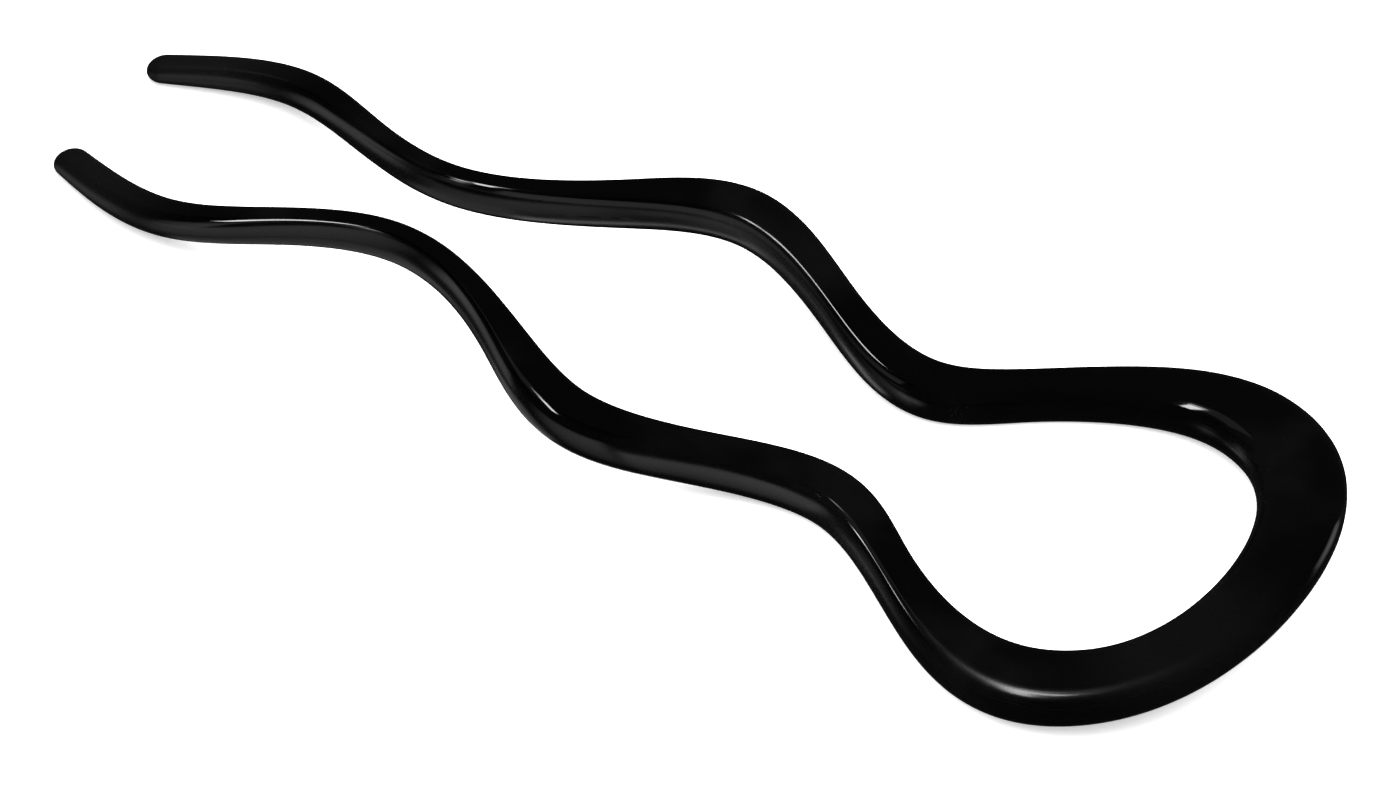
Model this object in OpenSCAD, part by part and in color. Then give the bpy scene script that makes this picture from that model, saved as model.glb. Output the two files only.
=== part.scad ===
// A wavy two-legged hair pin in one piece, lying as it rests on a flat surface.
// +X runs from the tips to the bow, +Z is up, and the origin is on the surface,
// halfway along the pin and midway between its legs. Lengths are in millimetres.

/* [Overall size] */
// Length from the tips to the end of the bow
pin_length = 110; // [85:1:150]
// Width across the widest part of the bow
bow_width = 39.6; // [32:0.2:52]
// Thickness of the bow and of most of each leg
pin_t = 3.5; // [2.6:0.1:5]
// Thickness at the tips
tip_t = 1.8; // [1.2:0.1:4]
// Height of the rounding along the polished edges
edge_h = 1.6; // [0.5:0.1:1.7]

/* [Clear gaps between the legs] */
// Gap at the tips
tip_gap = 10; // [6:0.2:16]
// Gap at the waves next to the tips
end_gap = 14.6; // [9:0.2:20]
// Gap at the narrow waist
waist_gap = 5.4; // [4.6:0.2:10]
// Gap at the middle waves
middle_gap = 21.4; // [15:0.2:28]
// Gap at the neck of the bow
neck_gap = 9.6; // [6:0.2:15]

/* [Widths of a leg, seen from above] */
// Width at the tips
tip_w = 3; // [2:0.1:4]
// Width at the waves next to the tips
end_w = 3.3; // [2:0.1:4]
// Width at the narrow waist
waist_w = 2.4; // [1.8:0.1:4]
// Width at the middle waves
middle_w = 4.6; // [3:0.1:6]
// Width at the neck of the bow
neck_w = 4.6; // [3:0.1:6]
// Width at the two sides of the bow
side_w = 6.7; // [4:0.1:8]
// Width at the end of the bow
bow_end_w = 6.7; // [4:0.1:8]

/* [Side view] */
// Height of the arch of the legs above the surface
arch_h = 3.8; // [0:0.1:8]
// Height of the end of the bow above the surface
bow_lift = 3.7; // [0:0.1:8]

/* [Hidden] */

// Sections along the whole pin, an even number, and on the round end of each tip
section_count = 160;
tip_sections = 5;
// Steps in each rounded corner of a section
corner_steps = 4;

// A value a share of the way from one size to another
function between(from, to, share) = from + (to - from) * share;

// Distance of each leg's centre line from the middle of the pin
tip_y = (tip_gap + tip_w) / 2;
end_y = (end_gap + end_w) / 2;
waist_y = (waist_gap + waist_w) / 2;
middle_y = (middle_gap + middle_w) / 2;
neck_y = (neck_gap + neck_w) / 2;
side_y = (bow_width - side_w) / 2;

// One leg and its half of the bow, from the tip on. Columns: place along X as a share of
// the centre line's length, distance from the middle of the pin, width
leg_rows = [
    [0.00, tip_y, tip_w],
    [0.107, end_y, end_w],
    [0.188, between(waist_y, end_y, 0.465), between(waist_w, end_w, 0.28)],
    [0.278, waist_y, waist_w],
    [0.402, between(waist_y, middle_y, 0.53), between(waist_w, middle_w, 0.42)],
    [0.489, middle_y, middle_w],
    [0.585, between(neck_y, middle_y, 0.465), 0.82 * middle_w],
    [0.682, neck_y, neck_w],
    [0.746, between(neck_y, side_y, 0.387), 0.83 * neck_w],
    [0.898, side_y, side_w],
    [0.946, 0.852 * side_y, 1.03 * side_w],
    [1.00, 0, bow_end_w]
];

// Distances along X from the tips: where the arch would begin if it ran on past them, its
// top, the flat that the bow rests on, where a leg reaches its full thickness, and where
// the rounder edges of the tips and the fall of their ends stop
arch_from = -0.09 * pin_length;
arch_at = 0.4 * pin_length;
rest_from = 0.715 * pin_length;
rest_to = 0.755 * pin_length;
full_t_at = 0.5 * pin_length;
round_to = 0.25 * pin_length;
fall_to = 0.08 * pin_length;

// Ends of the centre line, so that the round tips and the bow end at the full length
line_from = (tip_w - pin_length) / 2;
line_to = (pin_length - bow_end_w) / 2;

// Points of the whole centre line with their widths: tip, bow, tip
half = len(leg_rows) - 1;
path = [for (i = [0:2 * half])
    let (row = leg_rows[i <= half ? i : 2 * half - i], side = i <= half ? 1 : -1)
    [between(line_from, line_to, row[0]), side * row[1], row[2]]];
last = len(path) - 1;

// Straight distance from each point to the next, and the sum of these up to each point
function plan(p) = [p[0], p[1]];
spans = [for (i = [0:last - 1]) norm(plan(path[i + 1] - path[i]))];
function reach(i) = i == 0 ? 0 : reach(i - 1) + spans[i - 1];
reaches = [for (i = [0:last]) reach(i)];

// The centre line is a smooth curve through the points, a cubic between each two, whose
// bend doesn't jump. The bends at the points solve one chain of equations, which is
// swept forward and then solved back
still = [0, 0, 0];
function turn(i) = 6 * ((path[i + 1] - path[i]) / spans[i] - (path[i] - path[i - 1]) / spans[i - 1]);
function swept(i) = i == 0 ? [0, still] : let (
    before = swept(i - 1),
    weight = 2 * (spans[i - 1] + spans[i]) - spans[i - 1] * before[0])
    [spans[i] / weight, (turn(i) - spans[i - 1] * before[1]) / weight];
sweeps = [for (i = [0:last - 1]) swept(i)];
function bend(i) = i == last ? still : sweeps[i][1] - sweeps[i][0] * bend(i + 1);
bends = [for (i = [0:last]) i == 0 ? still : bend(i)];

// Place and width on the curve at a distance along it, and the direction there
function piece_at(d) = max([for (i = [0:last - 1]) reaches[i] <= d ? i : 0]);
function on_curve(d) = let (
    i = piece_at(d),
    b = (d - reaches[i]) / spans[i],
    a = 1 - b)
    a * path[i] + b * path[i + 1]
    + ((a^3 - a) * bends[i] + (b^3 - b) * bends[i + 1]) * spans[i]^2 / 6;
function direction(d) = let (
    i = piece_at(d),
    b = (d - reaches[i]) / spans[i],
    a = 1 - b,
    v = plan((path[i + 1] - path[i]) / spans[i]
        + ((1 - 3 * a^2) * bends[i] + (3 * b^2 - 1) * bends[i + 1]) * spans[i] / 6))
    v / norm(v);

// Side view: height of the underside, and thickness, at a place along X
function clamped(v) = min(1, max(0, v));
function eased(v) = let (u = clamped(v)) u^3 * (10 + u * (6 * u - 15));
function from_tips(x) = x + pin_length / 2;
function on_arch(d) = eased((d - arch_from) / (arch_at - arch_from));
function underside(x) = let (
    d = from_tips(x),
    rise = (on_arch(d) - on_arch(0)) / (1 - on_arch(0)),
    fall = eased((d - arch_at) / (rest_from - arch_at)),
    lift = max(0, d - rest_to) / (pin_length - rest_to))
    arch_h * (rise - fall) + bow_lift * lift^2;
function thickness(x) = between(pin_t, tip_t, (1 - clamped(from_tips(x) / full_t_at))^2)
    * (1 - 0.15 * (1 - clamped(from_tips(x) / fall_to))^2);

// One section, a rectangle with oval corners, given from its left side over the top to
// the right and back below. On a round tip its two sides turn towards the end
function section(centre, forward, turned) = let (
    left = [-forward[1], forward[0]] * cos(turned),
    ahead = forward * sin(turned),
    half_w = centre[2] / 2,
    edge_out = between(0.8, 0.5, clamped(from_tips(centre[0]) / round_to)) * half_w)
    [for (corner = [0:3], step = [0:corner_steps]) let (
        angle = 90 * (corner + step / corner_steps),
        side = corner == 0 || corner == 3 ? 1 : -1,
        out = half_w - edge_out + edge_out * abs(cos(angle)),
        p = plan(centre) + out * (side * left + ahead),
        t = thickness(p[0]),
        edge_up = min(edge_h, 0.48 * t),
        up = (corner < 2 ? t - edge_up : edge_up) + edge_up * sin(angle))
        [p[0], p[1], underside(p[0]) + up]];

// Two triangles for a face with four corners
function split(f) = [[f[0], f[1], f[2]], [f[0], f[2], f[3]]];

module hair_pin() {
    total = reaches[last];
    tip_turns = [for (i = [1:tip_sections]) 180 * i / (2 * tip_sections + 1)];
    sections = concat(
        [for (i = [tip_sections - 1:-1:0]) section(on_curve(0), direction(0), -tip_turns[i])],
        [for (i = [0:section_count]) let (d = total * i / section_count)
            section(on_curve(d), direction(d), 0)],
        [for (turned = tip_turns) section(on_curve(total), direction(total), turned)]);

    // Faces between each section and the next
    n = len(sections[0]);
    m = len(sections) - 1;
    walls = [for (k = [0:m - 1], i = [0:n - 1]) let (a = k * n + i, b = k * n + (i + 1) % n)
        each split([a, a + n, b + n, b])];

    // Faces across each end, in strips from the left side to the same height on the right
    q = corner_steps;
    left_side = concat([for (i = [n - 1 - q:n - 1]) i], [for (i = [0:q]) i]);
    function across(i) = (i < n / 2 ? n / 2 : 3 * n / 2) - 1 - i;
    strips = [for (k = [0:2 * q]) let (low = left_side[k], high = left_side[k + 1])
        [low, high, across(high), across(low)]];
    first_end = [for (f = strips) each split(f)];
    other_end = [for (f = first_end) [f[2], f[1], f[0]] + [1, 1, 1] * m * n];

    color([0.03, 0.03, 0.035])
        polyhedron([for (s = sections) each s], concat(walls, first_end, other_end));
}

hair_pin();
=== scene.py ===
# A wavy black hair pin in polished plastic, lying on a pale table.
# Everything is in metres in the part's own frame: +X from the tips to the bow, +Z up.
import math

import bpy
import numpy as np
from mathutils import Matrix, Vector


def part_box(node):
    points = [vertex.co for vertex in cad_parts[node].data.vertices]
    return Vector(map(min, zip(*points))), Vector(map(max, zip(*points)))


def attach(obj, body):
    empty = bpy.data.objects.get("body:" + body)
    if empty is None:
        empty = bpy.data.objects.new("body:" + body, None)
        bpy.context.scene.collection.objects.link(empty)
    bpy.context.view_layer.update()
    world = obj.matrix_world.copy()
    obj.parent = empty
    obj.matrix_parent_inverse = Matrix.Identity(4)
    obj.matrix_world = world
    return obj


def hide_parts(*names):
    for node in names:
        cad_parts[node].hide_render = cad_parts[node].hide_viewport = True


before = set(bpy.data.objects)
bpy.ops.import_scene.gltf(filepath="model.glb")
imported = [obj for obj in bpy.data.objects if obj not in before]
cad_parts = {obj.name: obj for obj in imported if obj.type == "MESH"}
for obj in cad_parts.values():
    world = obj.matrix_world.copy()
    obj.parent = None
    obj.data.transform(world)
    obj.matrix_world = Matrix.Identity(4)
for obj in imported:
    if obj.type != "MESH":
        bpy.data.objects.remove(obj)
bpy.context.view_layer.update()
print("frame loaded:", sorted(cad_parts))

mm = 0.001


# Shader maths

class Wire:  # one socket, so that shader maths reads as plain sums
    tree = None  # the node tree that is being filled

    def __init__(self, socket):
        self.socket = socket

    @classmethod
    def node(cls, kind, settings=None, sockets=None, output=0):
        made = cls.tree.nodes.new(kind)
        for name, value in (settings or {}).items():
            setattr(made, name, value)
        for name, value in (sockets or {}).items():
            if isinstance(value, Wire):
                cls.tree.links.new(value.socket, made.inputs[name])
            else:
                made.inputs[name].default_value = value
        return Wire(made.outputs[output])

    def maths(self, operation, other=None, swapped=False):
        values = [self] if other is None else [other, self] if swapped else [self, other]
        return Wire.node("ShaderNodeMath", {"operation": operation}, dict(enumerate(values)))

    def __add__(self, other): return self.maths("ADD", other)
    def __radd__(self, other): return self.maths("ADD", other, True)
    def __sub__(self, other): return self.maths("SUBTRACT", other)
    def __rsub__(self, other): return self.maths("SUBTRACT", other, True)
    def __mul__(self, other): return self.maths("MULTIPLY", other)
    def __rmul__(self, other): return self.maths("MULTIPLY", other, True)
    def __abs__(self): return self.maths("ABSOLUTE")


def smooth(value, reach):  # 0 below its first value, 1 above its second, eased between
    return Wire.node("ShaderNodeMapRange", {"interpolation_type": "SMOOTHSTEP"},
                     {"Value": value, "From Min": reach[0], "From Max": reach[1]})


def noise(place, size, detail, roughness):  # size is that of one blotch
    return Wire.node("ShaderNodeTexNoise", {},
                     {"Vector": place, "Scale": 1 / size, "Detail": detail, "Roughness": roughness})


def stretched(place, along, turned):  # the same place, drawn out by these shares
    return Wire.node("ShaderNodeMapping", {},
                     {"Vector": place, "Scale": along, "Rotation": (0, 0, turned)})


def distanceFrom(place, middle):
    return Wire.node("ShaderNodeVectorMath", {"operation": "DISTANCE"},
                     {0: place, 1: middle}, "Value")


def tinted(share, under, over):  # a share of one colour over another
    return Wire.node("ShaderNodeMix", {"data_type": "RGBA"},
                     {"Factor": share, 6: under, 7: over}, 2)


def raised(depth, height, **under):  # relief, on top of another if that is given
    return Wire.node("ShaderNodeBump", {},
                     {"Strength": 1.0, "Distance": depth, "Height": height, **under})


def startMaterial(name):
    material = bpy.data.materials.new(name)
    material.use_nodes = True
    Wire.tree = material.node_tree
    return material, material.node_tree.nodes["Principled BSDF"]


def feed(shader, **sockets):  # constants on the shader's own sockets, the rest as links
    for name, value in sockets.items():
        socket = shader.inputs[name.replace("_", " ")]
        if isinstance(value, Wire):
            Wire.tree.links.new(value.socket, socket)
        else:
            socket.default_value = value


def addMesh(name, points, faces):
    mesh = bpy.data.meshes.new(name)
    mesh.from_pydata(points, [], faces)
    made = bpy.data.objects.new(name, mesh)
    bpy.context.scene.collection.objects.link(made)
    return made


# The pin's shape

pinShape = {
    "length": 110 * mm,
    "bowWidth": 39.6 * mm,
    "thickness": 3.5 * mm,
    "tipThickness": 1.8 * mm,
    "edgeHeight": 1.6 * mm,
    "edgeLimit": 0.48,      # the most of the thickness that one edge takes
    "edgeShare": 0.5,       # how much of the half width is rounded, and at the tips
    "tipEdgeShare": 0.8,
    "gaps": {"tip": 10 * mm, "end": 14.6 * mm, "waist": 5.4 * mm, "middle": 21.4 * mm,
             "neck": 9.6 * mm},
    "widths": {"tip": 3 * mm, "end": 3.3 * mm, "waist": 2.4 * mm, "middle": 4.6 * mm,
               "neck": 4.6 * mm, "side": 6.7 * mm, "bowEnd": 6.7 * mm},
    "archHeight": 3.8 * mm,
    "bowLift": 3.7 * mm,
    "archFrom": -0.09,      # shares of the length, from the tips
    "archAt": 0.4,
    "restFrom": 0.715,
    "restTo": 0.755,
    "fullThicknessAt": 0.5,
    "roundTo": 0.25,        # where the rounder edges of the tips end, and the fall of their ends
    "fallTo": 0.08,
    "tipFall": 0.15,        # how much thinner the very ends are again
    "sections": 660,
    "tipSections": 14,
    "cornerSteps": 9,
    "topSteps": 10,
    "wallSteps": 5,
    "crown": 0.05 * mm,     # how far the polished faces fall off towards their edges
}


def between(low, high, share):
    return low + (high - low) * share


def centreLine(shape):  # place along X, distance from the middle, width: tip, bow, tip
    gap, width = shape["gaps"], shape["widths"]
    tip, end, waist, middle, neck = ((gap[k] + width[k]) / 2 for k in gap)
    side = (shape["bowWidth"] - width["side"]) / 2
    rows = np.array([
        [0.00, tip, width["tip"]],
        [0.107, end, width["end"]],
        [0.188, between(waist, end, 0.465), between(width["waist"], width["end"], 0.28)],
        [0.278, waist, width["waist"]],
        [0.402, between(waist, middle, 0.53), between(width["waist"], width["middle"], 0.42)],
        [0.489, middle, width["middle"]],
        [0.585, between(neck, middle, 0.465), 0.82 * width["middle"]],
        [0.682, neck, width["neck"]],
        [0.746, between(neck, side, 0.387), 0.83 * width["neck"]],
        [0.898, side, width["side"]],
        [0.946, 0.852 * side, 1.03 * width["side"]],
        [1.00, 0, width["bowEnd"]],
    ])
    start = (width["tip"] - shape["length"]) / 2
    stop = (shape["length"] - width["bowEnd"]) / 2
    rows[:, 0] = between(start, stop, rows[:, 0])
    return np.vstack([rows, rows[-2::-1] * [1, -1, 1]])


def smoothCurve(points, count):  # an even walk along a cubic through the points
    spans = np.hypot(*np.diff(points[:, :2], axis=0).T)
    reaches = np.concatenate([[0], np.cumsum(spans)])
    n = len(points)
    chain = np.eye(n)
    turns = np.zeros_like(points)
    slopes = np.diff(points, axis=0) / spans[:, None]
    for i in range(1, n - 1):
        chain[i, i - 1:i + 2] = spans[i - 1], 2 * (spans[i - 1] + spans[i]), spans[i]
        turns[i] = 6 * (slopes[i] - slopes[i - 1])
    bends = np.linalg.solve(chain, turns)
    walk = np.linspace(0, reaches[-1], count + 1)
    i = np.clip(np.searchsorted(reaches, walk, side="right") - 1, 0, n - 2)
    span = spans[i][:, None]
    b = (walk - reaches[i])[:, None] / span
    a = 1 - b
    places = (a * points[i] + b * points[i + 1]
              + ((a**3 - a) * bends[i] + (b**3 - b) * bends[i + 1]) * span**2 / 6)
    headings = slopes[i] + ((1 - 3 * a**2) * bends[i] + (3 * b**2 - 1) * bends[i + 1]) * span / 6
    headings = headings[:, :2]
    return places, headings / np.hypot(*headings.T)[:, None]


def eased(v):
    u = np.clip(v, 0, 1)
    return u**3 * (10 + u * (6 * u - 15))


def onArch(shape, share):
    return eased((share - shape["archFrom"]) / (shape["archAt"] - shape["archFrom"]))


def underside(shape, x):
    share = x / shape["length"] + 0.5
    foot = onArch(shape, 0)
    rise = (onArch(shape, share) - foot) / (1 - foot)
    fall = eased((share - shape["archAt"]) / (shape["restFrom"] - shape["archAt"]))
    lift = np.maximum(0, share - shape["restTo"]) / (1 - shape["restTo"])
    return shape["archHeight"] * (rise - fall) + shape["bowLift"] * lift**2


def thicknessAt(shape, x):
    share = x / shape["length"] + 0.5
    full = np.clip(share / shape["fullThicknessAt"], 0, 1)
    fallen = 1 - shape["tipFall"] * (1 - np.clip(share / shape["fallTo"], 0, 1))**2
    return between(shape["thickness"], shape["tipThickness"], (1 - full)**2) * fallen


def sectionOutline(shape, x, halfWidth):  # out from the middle, then shares of thickness and edge
    share = np.clip((x / shape["length"] + 0.5) / shape["roundTo"], 0, 1)
    edgeOut = between(shape["tipEdgeShare"], shape["edgeShare"], share) * halfWidth
    steps, outs, levels = shape["cornerSteps"], [], []
    for corner in range(4):
        side = 1 if corner in (0, 3) else -1
        for step in range(steps + 1):
            angle = math.pi / 2 * (corner + step / steps)
            outs.append(side * (halfWidth - edgeOut + edgeOut * abs(math.cos(angle))))
            levels.append((1, math.sin(angle) - 1) if corner < 2 else (0, math.sin(angle) + 1))
        here, level = outs[-1], levels[-1]
        flip = corner in (0, 2)  # after these corners comes the top or the underside
        for step in range(1, shape["topSteps"] if flip else shape["wallSteps"]):
            if flip:
                outs.append(here * (1 - 2 * step / shape["topSteps"]))
                levels.append(level)
            else:
                share = step / shape["wallSteps"]
                outs.append(here)
                levels.append((between(level[0], 1 - level[0], share),
                               between(level[1], -level[1], share)))
    return np.array(outs).T, np.array(levels).T


def makePin(shape):
    places, headings = smoothCurve(centreLine(shape), shape["sections"])
    nose = shape["tipSections"]
    turned = math.pi * np.arange(1, nose + 1) / (2 * nose + 1)
    turned = np.concatenate([-turned[::-1], np.zeros(len(places)), turned])
    places, headings = (np.vstack([np.repeat(rows[:1], nose, 0), rows, np.repeat(rows[-1:], nose, 0)])
                        for rows in (places, headings))
    outs, (onThickness, onEdge) = sectionOutline(shape, places[:, 0], places[:, 2] / 2)
    left = np.stack([-headings[:, 1], headings[:, 0]], 1) * np.cos(turned)[:, None]
    ahead = headings * np.sin(turned)[:, None]
    flat = (places[:, None, :2] + outs[:, :, None] * left[:, None]
            + np.abs(outs)[:, :, None] * ahead[:, None])
    thickness = thicknessAt(shape, flat[:, :, 0])
    edge = np.minimum(shape["edgeHeight"], shape["edgeLimit"] * thickness)
    ups = onThickness * thickness + onEdge * edge
    fallOff = shape["crown"] * np.clip(np.abs(outs) / (places[:, 2:] / 2), 0, 1)**2
    ups = np.where(onThickness > 0.5, ups - fallOff, ups)
    points = np.dstack([flat, underside(shape, flat[:, :, 0]) + ups])
    count, ring = points.shape[:2]
    starts = [k * ring for k in range(count)]
    faces = [(here + i, there + i, there + (i + 1) % ring, here + (i + 1) % ring)
             for here, there in zip(starts, starts[1:]) for i in range(ring)]
    faces.append(tuple(range(ring)))
    faces.append(tuple(reversed(range(starts[-1], count * ring))))
    low, high = (np.array(corner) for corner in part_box("hair_pin"))
    pin = addMesh("hair_pin_polished", np.clip(points.reshape(-1, 3), low, high).tolist(), faces)
    pin.data.validate()
    pin.data.polygons.foreach_set("use_smooth", [True] * len(pin.data.polygons))
    pin.data.update()
    return pin


pin = makePin(pinShape)
print("pin:", len(pin.data.vertices), "points,", len(pin.data.polygons), "faces")


# The pin's black plastic

acetate = {
    "black": (0.0003, 0.0003, 0.00035, 1),
    "ior": 1.46,
    "polish": 0.06,                              # roughness of the tumbled faces
    "bloom": (0.0015, 0.0015, 0.0016, 1),        # what polish has left here and there
    "bloomSize": 14 * mm,
    "bloomReach": (0.5, 0.72),
    "bloomShare": 0.8,
    "bloomRoughness": 0.05,
    "wallReach": (0.35, 0.8),                    # how much a face looks up, from walls to tops
    "wallRoughness": 0.14,                       # the sawn edges take less polish
    "wallGrain": 0.08,
    "tipReach": (-49 * mm, -37 * mm),            # and those of the tips have lost theirs
    "tipRoughness": 0.22,
    "tipGrey": (0.003, 0.003, 0.0031, 1),
    "tipBlur": 3 * mm,
    "softPatch": (41 * mm, -17.5 * mm, 4 * mm),  # on the bow, where the gloss is softer
    "softReach": (8 * mm, 18 * mm),
    "softRoughness": 0.11,
    "hazePatch": (50 * mm, -9 * mm, 6 * mm),     # beside it, where it is a little grey
    "hazeReach": (3 * mm, 11 * mm),
    "hazeRoughness": 0.1,
    "speckled": (0.2, 0.8),                      # even and speckled share of that grey
    "tipSpeckled": (0.4, 0.8),
    "waveSize": 9 * mm,
    "waveDepth": 0.012 * mm,
    "grainSize": 0.22 * mm,
    "grainDepth": 0.0035 * mm,
    "scratchSize": 0.5 * mm,
    "scratchShape": (0.06, 1, 1),                # drawn out along X, then turned
    "scratchTurn": 0.5,
    "scratchReach": (0.62, 0.8),
    "scratchRoughness": 0.03,
}


def blackAcetate(look):
    material, shader = startMaterial("black_acetate")
    place = Wire.node("ShaderNodeTexCoord", {}, {}, "Object")
    normal = Wire.node("ShaderNodeNewGeometry", {}, {}, "Normal")
    facing = Wire.node("ShaderNodeSeparateXYZ", {}, {"Vector": normal}, "Z")
    along = Wire.node("ShaderNodeSeparateXYZ", {}, {"Vector": place}, "X")
    speckle = noise(place, look["grainSize"], 3.0, 0.6)
    wave = noise(place, look["waveSize"], 1.0, 0.4)
    drawnOut = stretched(place, look["scratchShape"], look["scratchTurn"])
    scratch = smooth(noise(drawnOut, look["scratchSize"], 2.0, 0.6), look["scratchReach"])
    bloom = smooth(noise(place, look["bloomSize"], 3.0, 0.55), look["bloomReach"])
    wall = 1 - smooth(abs(facing), look["wallReach"])
    soft = 1 - smooth(distanceFrom(place, look["softPatch"]), look["softReach"])
    hazy = 1 - smooth(distanceFrom(place, look["hazePatch"]), look["hazeReach"])
    worn = 1 - smooth(along + speckle * look["tipBlur"], look["tipReach"])
    even, grainy = look["speckled"]
    tipEven, tipGrainy = look["tipSpeckled"]
    tint = tinted(bloom * look["bloomShare"], look["black"], look["bloom"])
    tint = tinted(hazy * (even + speckle * grainy), tint, look["bloom"])
    tint = tinted(worn * (tipEven + speckle * tipGrainy), tint, look["tipGrey"])
    rough = look["polish"] + bloom * look["bloomRoughness"] + scratch * look["scratchRoughness"]
    rough = rough + wall * (look["wallRoughness"] + speckle * look["wallGrain"])
    rough = rough + worn * look["tipRoughness"] + soft * look["softRoughness"]
    rough = rough + hazy * look["hazeRoughness"]
    swell = raised(look["waveDepth"], wave)
    relief = raised(look["grainDepth"], speckle * wall, Normal=swell)
    feed(shader, Base_Color=tint, Roughness=rough, Normal=relief, IOR=look["ior"])
    return material


pin.data.materials.append(blackAcetate(acetate))
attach(pin, "root")
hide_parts("hair_pin")
print("pin: plastic done")


# Table, light and camera

table = {"size": 8.0, "white": (0.8, 0.8, 0.8, 1), "roughness": 0.9, "glow": 0.6}


def makeTable(look):
    half = look["size"] / 2
    corners = [(-half, -half, 0), (half, -half, 0), (half, half, 0), (-half, half, 0)]
    top = addMesh("table_top", corners, [(0, 1, 2, 3)])
    material, shader = startMaterial("pale_table")
    feed(shader, Base_Color=look["white"], Roughness=look["roughness"], Specular_IOR_Level=0.0,
         Emission_Color=look["white"], Emission_Strength=look["glow"])
    top.data.materials.append(material)
    top.visible_glossy = False  # the polished pin shows the panels in its place


# Dark cards over the tips and the neck, which keep the strips out of the gloss there
flags = {
    "tips": {"height": 0.06,
             "corners": [(-0.13, -0.07), (-0.06, -0.07), (-0.06, 0.02), (-0.13, 0.02)]},
    "neck": {"height": 0.04,
             "corners": [(-0.009, -0.025), (0.011, -0.025), (0.011, -0.003), (-0.009, -0.0048)]},
}


def darkFelt():
    material, shader = startMaterial("dark_felt")
    feed(shader, Base_Color=(0.0, 0.0, 0.0, 1), Roughness=1.0, Specular_IOR_Level=0.0)
    return material


def makeFlag(name, look, felt):
    corners = [(x, y, look["height"]) for x, y in look["corners"]]
    card = addMesh("dark_card_" + name, corners, [(0, 1, 2, 3)])
    card.data.materials.append(felt)
    card.visible_camera = False
    card.visible_diffuse = False


def directionOf(azimuth, elevation):  # azimuth 0 is on the -Y side and 90 on the +X side
    a, e = math.radians(azimuth), math.radians(elevation)
    return Vector((math.sin(a) * math.cos(e), -math.cos(a) * math.cos(e), math.sin(e)))


# Flat panels. Untilted ones shine down, one tilted by 90 degrees shines towards +Y, and an
# aimed one shines at a place on the pin. The gloss shows all of them but the ceiling,
# which lights the table
lamps = {
    "strip": {"place": (-0.247, -0.129, 0.6), "turned": 8.9, "size": (0.075, 0.3), "light": 15.0},
    "stripEnd": {"place": (-0.279, 0.078, 0.6), "turned": 8.9, "size": (0.075, 0.12), "light": 5.0},
    "glow": {"place": (-0.45, 0.1, 0.6), "turned": 0, "size": (0.36, 0.38), "light": 0.16},
    "neckCard": {"place": (-0.0245, -0.0189, 0.0369), "aim": (0.0227, -0.0109, 0.0034),
                 "size": (0.009, 0.009), "spread": 8, "light": 28.0},
    "bowCard": {"place": (0.0226, -0.0197, 0.0607), "aim": (0.0428, -0.0181, 0.0045),
                "size": (0.008, 0.008), "spread": 9, "light": 22.0},
    "legCard": {"place": (-0.0505, -0.0321, 0.0556), "aim": (-0.0297, -0.0056, 0.0059),
                "size": (0.016, 0.01), "spread": 16, "light": 32.0},
    "tailCard": {"place": (-0.051, -0.045, 0.0447), "aim": (-0.0232, 0.0031, 0.0066),
                 "size": (0.009, 0.012), "spread": 14, "light": 9.0},
    "upperCard": {"place": (-0.0498, -0.0126, 0.0576), "aim": (-0.0221, 0.0034, 0.0067),
                  "size": (0.009, 0.009), "spread": 11, "light": 30.0},
    "upperEnd": {"place": (-0.0446, 0.01, 0.0613), "aim": (-0.02, 0.0039, 0.0069),
                 "size": (0.012, 0.012), "spread": 12, "light": 16.0},
    "middleStart": {"place": (-0.0071, -0.0012, 0.0332), "aim": (-0.0012, 0.0115, 0.0067),
                    "size": (0.0045, 0.0045), "spread": 15, "light": 22.0},
    "endCard": {"place": (0.1, 0.071, 0.004), "aim": (0.0543, 0.004, 0.0055),
                "size": (0.03, 0.05), "spread": 40, "light": 1.0},
    "front": {"place": (-0.0275, -0.036, -0.016), "tilted": 90, "turned": 6, "size": (0.069, 0.052),
              "spread": 115, "light": 0.62},
    "frontRight": {"place": (0.0115, -0.021, -0.005), "tilted": 90, "turned": 6, "size": (0.012, 0.018),
                   "spread": 115, "light": 1.0},
    "under": {"place": (-0.0095, -0.005, -0.02), "tilted": 180, "turned": 0, "size": (0.02, 0.007),
              "light": 1.1},
    "tipCard": {"place": (-0.056, -0.05, 0.028), "aim": (-0.05, 0.006, 0.001),
                "size": (0.03, 0.07), "spread": 64, "light": 0.75},
    "tipCardLeft": {"place": (-0.085, -0.027, -0.006), "aim": (-0.0487, -0.0098, 0.0015),
                    "size": (0.024, 0.05), "spread": 56, "light": 0.9},
    "innerCard": {"place": (-0.003, -0.004, 0.0118), "tilted": 90, "turned": 6, "size": (0.034, 0.0092),
                  "spread": 130, "light": 0.55},
    "underLeft": {"place": (-0.033, -0.017, -0.025), "tilted": 180, "turned": 0, "size": (0.03, 0.026),
                  "light": 0.28},
    "ceiling": {"place": (0, 0, 1.6), "turned": 0, "size": (3.2, 3.2), "light": 5.0, "inGloss": False},
}


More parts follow.
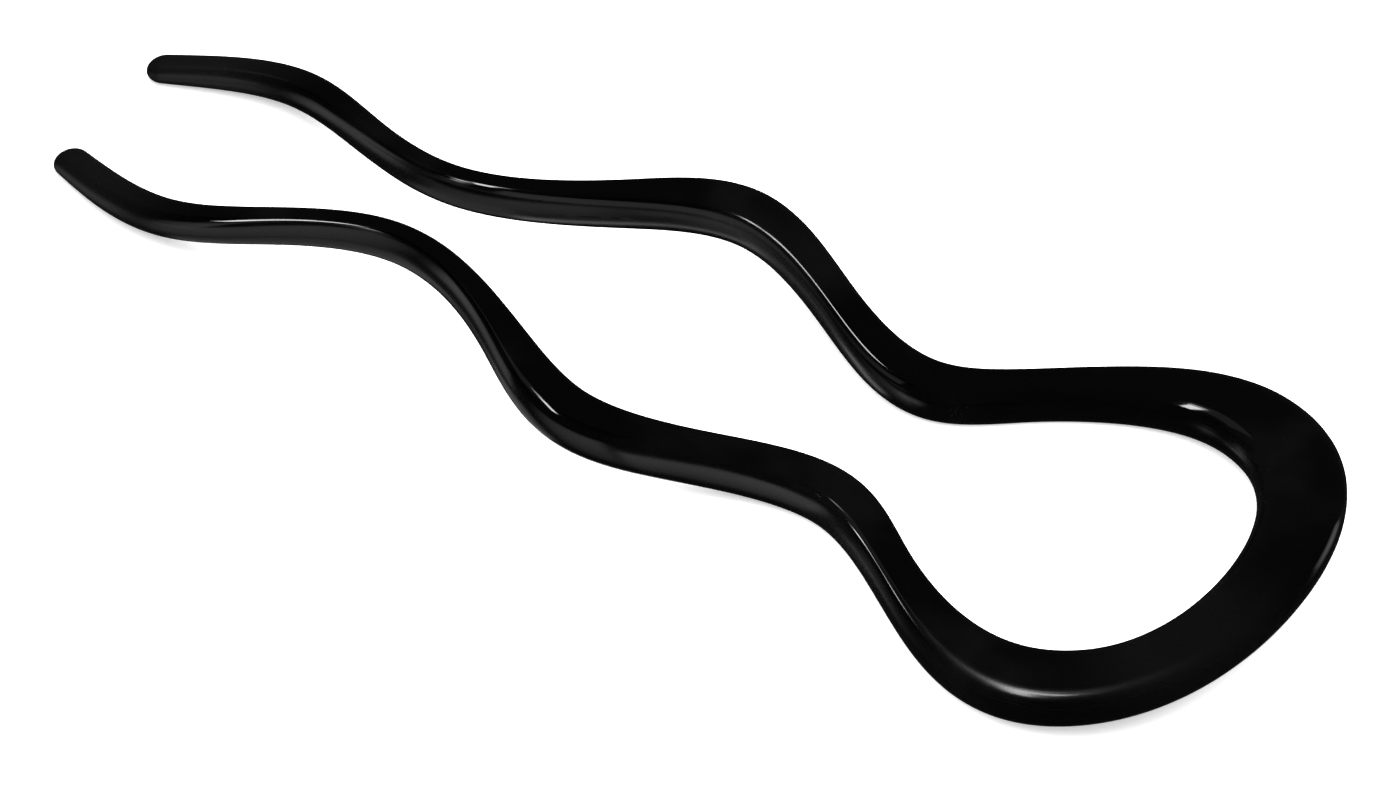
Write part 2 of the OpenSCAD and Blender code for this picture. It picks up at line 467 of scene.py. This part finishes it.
def makeLamp(name, look):
    data = bpy.data.lights.new(name, "AREA")
    data.shape = "RECTANGLE"
    data.size, data.size_y = look["size"]
    data.spread = math.radians(look.get("spread", 180))
    half = data.spread / 2
    narrowed = 1 - half / math.tan(half) if "spread" in look else 1  # keeps the middle as bright
    data.energy = 4 * data.size * data.size_y * look["light"] * narrowed
    lamp = bpy.data.objects.new(name, data)
    lamp.location = look["place"]
    if "aim" in look:
        towards = Vector(look["aim"]) - Vector(look["place"])
        lamp.rotation_euler = towards.to_track_quat("-Z", "Y").to_euler()
    else:
        lamp.rotation_euler = (math.radians(look.get("tilted", 0)), 0, math.radians(look["turned"]))
    inGloss = look.get("inGloss", True)
    lamp.visible_camera = False
    lamp.visible_glossy = inGloss
    lamp.visible_diffuse = not inGloss
    bpy.context.scene.collection.objects.link(lamp)


studio = {"seen": 1.0, "shed": 0.022}  # how bright it is to the camera, and as a light


def makeWorld(look):
    world = bpy.data.worlds.new("studio")
    bpy.context.scene.world = world
    world.use_nodes = True
    Wire.tree = world.node_tree
    seenByCamera = Wire.node("ShaderNodeLightPath", {}, {}, "Is Camera Ray")
    level = seenByCamera * (look["seen"] - look["shed"]) + look["shed"]
    sky = world.node_tree.nodes["Background"]
    sky.inputs["Color"].default_value = (1, 1, 1, 1)
    Wire.tree.links.new(level.socket, sky.inputs["Strength"])


cameraView = {
    "at": (32.09, 44.99),
    "distance": 654.4 * mm,
    "aside": (1.29 * mm, -1.69 * mm),
    "lens": 216.0,
    "film": 36.0,
    "clip": (0.01, 50),
}


def makeCamera(look):
    data = bpy.data.cameras.new("camera")
    data.lens, data.sensor_width = look["lens"], look["film"]
    data.clip_start, data.clip_end = look["clip"]
    camera = bpy.data.objects.new("camera", data)
    back = directionOf(*look["at"])
    right = Vector((-back.y, back.x, 0)).normalized()
    up = back.cross(right)
    camera.matrix_world = Matrix.Translation(
        back * look["distance"] + right * look["aside"][0] + up * look["aside"][1]
    ) @ Matrix((right, up, back)).transposed().to_4x4()
    bpy.context.scene.collection.objects.link(camera)
    bpy.context.scene.camera = camera


makeTable(table)
felt = darkFelt()
for flagName, flagLook in flags.items():
    makeFlag(flagName, flagLook, felt)
for lampName, lampLook in lamps.items():
    makeLamp(lampName, lampLook)
makeWorld(studio)
makeCamera(cameraView)
bpy.context.scene.view_settings.view_transform = "Standard"
print("table, lamps and camera done")
